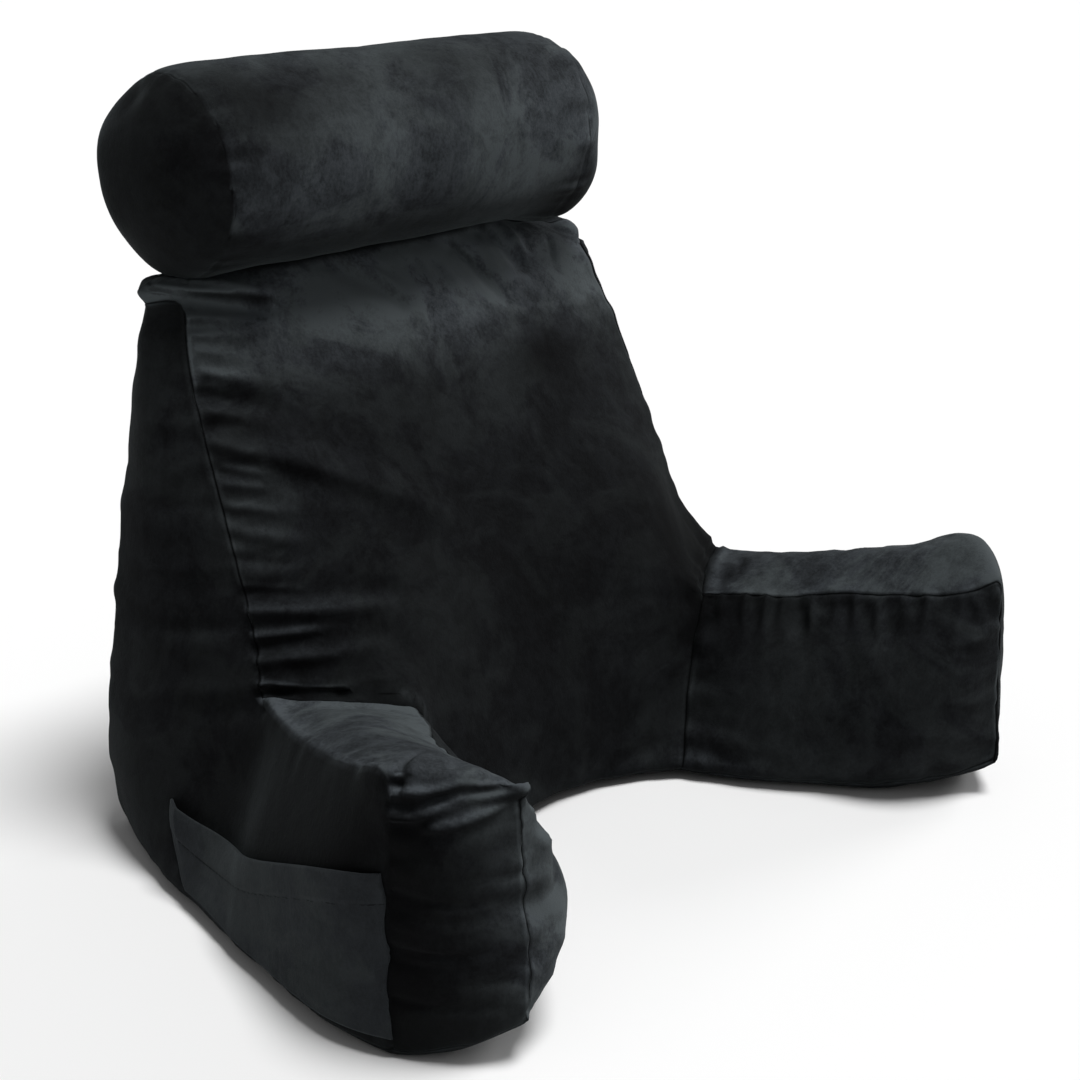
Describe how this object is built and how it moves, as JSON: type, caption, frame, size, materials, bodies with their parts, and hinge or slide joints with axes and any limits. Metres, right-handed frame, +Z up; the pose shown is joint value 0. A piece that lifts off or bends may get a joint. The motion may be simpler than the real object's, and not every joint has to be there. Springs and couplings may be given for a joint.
{
  "type": "reading pillow with arms",
  "caption": "Filled velvet backrest pillow with a sloping front, splayed arms, a round neck roll along the top edge and a flat patch pocket on the side.",
  "frame": {"origin": "on the floor, at the middle of the pillow's footprint", "axes": "+Z up; +Y towards the rear panel; -Y is where the arms reach and the person sits; +X across the pillow, from the pocket side to the other side"},
  "size_m": [0.8138, 0.6299, 0.7148],
  "materials": {
    "velvet_cover": "short-pile velvet, matte with a soft sheen",
    "velvet_roll": "short-pile velvet, matte with a soft sheen",
    "velvet_pocket": "short-pile velvet, its pile laid the lighter way"
  },
  "bodies": {
    "root": {"back_with_arms": "velvet_cover", "neck_roll": "velvet_roll", "side_pocket": "velvet_pocket"}
  },
  "joints": []
}
